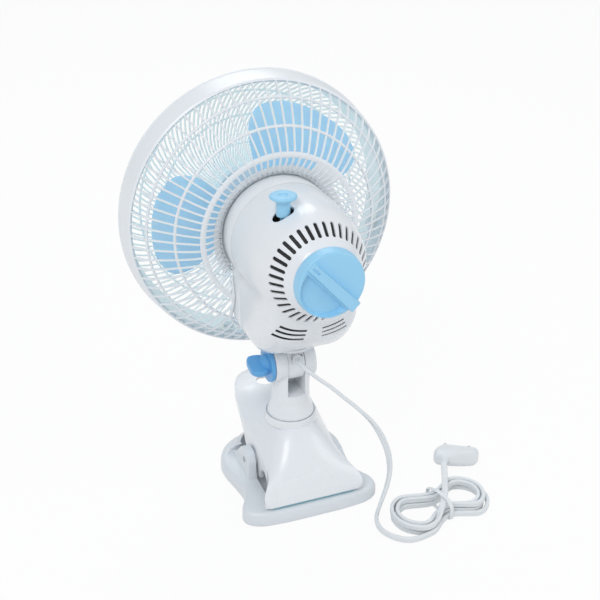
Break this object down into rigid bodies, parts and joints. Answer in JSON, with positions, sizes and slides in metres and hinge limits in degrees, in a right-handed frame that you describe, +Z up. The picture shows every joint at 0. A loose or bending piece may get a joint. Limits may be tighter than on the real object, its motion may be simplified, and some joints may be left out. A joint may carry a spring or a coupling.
{
  "type": "clip fan",
  "caption": "Small clip-on fan: 210 mm round cage and three pale blue blades on an oscillating motor head, tilting neck, column and spring clamp, with cord and plug.",
  "frame": {"origin": "On the column's vertical axis at the underside of the lower jaw, which rests on the table plane z=0.", "axes": "+Z up along the column; the fan blows towards -Y, so the motor's speed knob faces +Y; +X is the side of the tilt axis' wing knob."},
  "size_m": [0.2543, 0.2075, 0.304],
  "materials": {
    "white_grille": "satin moulded white",
    "white_shell": "glossy moulded white",
    "grey_white_base": "satin moulded pale grey white",
    "grey_plastic": "moulded gear case",
    "blue_knob": "satin light blue",
    "deep_blue_knob": "satin mid blue",
    "blue_blade": "slightly translucent light blue",
    "teal_pad": "soft matt pad",
    "steel": "plain metal",
    "copper_wire": "enamelled winding",
    "brass": "sintered bush",
    "dark_plastic": "moulded black",
    "cord_white": "flexible white vinyl"
  },
  "bodies": {
    "clamp_base": {"lower_jaw": "grey_white_base", "lower_pad": "teal_pad", "pivot_pin": "steel", "torsion_spring": "steel", "cord_stretch": "cord_white", "cord_hank": "cord_white", "cord_tail": "cord_white", "cord_tie": "cord_white", "plug_body": "cord_white", "plug_pin_1": "steel", "plug_pin_2": "steel"},
    "clamp_lever": {"upper_jaw": "white_shell", "upper_pad": "teal_pad"},
    "neck_column": {"column": "white_shell", "column_screw": "steel", "tilt_nut": "steel"},
    "neck_bracket": {"tilt_bracket": "white_shell", "cord_grommet": "cord_white", "pivot_lever": "steel"},
    "wing": {"wing_knob": "deep_blue_knob", "tilt_bolt": "steel"},
    "head": {"rear_grille": "white_grille", "front_grille": "white_grille", "front_badge": "white_shell", "rim_clip_1": "white_grille", "rim_clip_2": "white_grille", "rim_clip_3": "white_grille", "rim_clip_4": "white_grille", "rear_housing": "white_shell", "front_housing": "white_shell", "rotary_switch": "dark_plastic", "stator_core": "steel", "front_coil": "copper_wire", "rear_coil": "copper_wire", "front_bracket": "steel", "rear_bracket": "steel", "front_bearing": "brass", "rear_bearing": "brass", "gearbox": "grey_plastic", "pivot_bushing": "dark_plastic"},
    "rotor": {"fan_blade": "blue_blade", "spinner_nut": "blue_blade", "motor_shaft": "steel", "rotor_core": "steel"},
    "knob": {"speed_knob": "blue_knob"},
    "pull": {"pull_knob": "blue_knob"},
    "swing_crank": {"crank": "steel"},
    "swing_link": {"link_arm": "steel"}
  },
  "joints": [
    {"name": "clamp_open", "type": "hinge", "parent": "clamp_base", "child": "clamp_lever", "pos_m": [0, -0.002, 0.024], "axis": [1, 0, 0], "range_deg": [0, 24], "stiffness_Nm_per_rad": 2, "springref_deg": -57.3},
    {"name": "column_swivel", "type": "hinge", "parent": "clamp_lever", "child": "neck_column", "pos_m": [0, 0, 0.062], "axis": [0, 0, 1], "range_deg": [-90, 90], "deforming": ["cord_stretch"]},
    {"name": "head_tilt", "type": "hinge", "parent": "neck_column", "child": "neck_bracket", "pos_m": [0, 0, 0.105], "axis": [1, 0, 0], "range_deg": [-30, 20], "deforming": ["cord_stretch"]},
    {"name": "wing_turn", "type": "hinge", "parent": "neck_column", "child": "wing", "pos_m": [0.018, 0, 0.105], "axis": [1, 0, 0], "range_deg": [0, 180]},
    {"name": "oscillation", "type": "hinge", "parent": "neck_bracket", "child": "head", "pos_m": [0, 0, 0.125], "axis": [0, 0, 1], "range_deg": [-35, 35]},
    {"name": "blade_spin", "type": "hinge", "parent": "head", "child": "rotor", "pos_m": [0, -0.056, 0.199], "axis": [0, 1, 0], "continuous": true},
    {"name": "speed_turn", "type": "hinge", "parent": "head", "child": "knob", "pos_m": [0, 0.07, 0.199], "axis": [0, 1, 0], "range_deg": [0, 90]},
    {"name": "pull_slide", "type": "slide", "parent": "head", "child": "pull", "axis": [0, 0, 1], "range_m": [-0.006, 0]},
    {"name": "crank_turn", "type": "hinge", "parent": "head", "child": "swing_crank", "pos_m": [0.017, 0.027, 0.144], "axis": [0, 0, 1], "range_deg": [-51, 51]},
    {"name": "link_turn", "type": "hinge", "parent": "neck_bracket", "child": "swing_link", "pos_m": [-0.0075, 0.0025, 0.14], "axis": [0, 0, 1], "range_deg": [-34, 34]}
  ],
  "couplings": [
    {"joint": "crank_turn", "follows": "oscillation", "ratio": -1.45},
    {"joint": "link_turn", "follows": "oscillation", "ratio": 0.96}
  ]
}
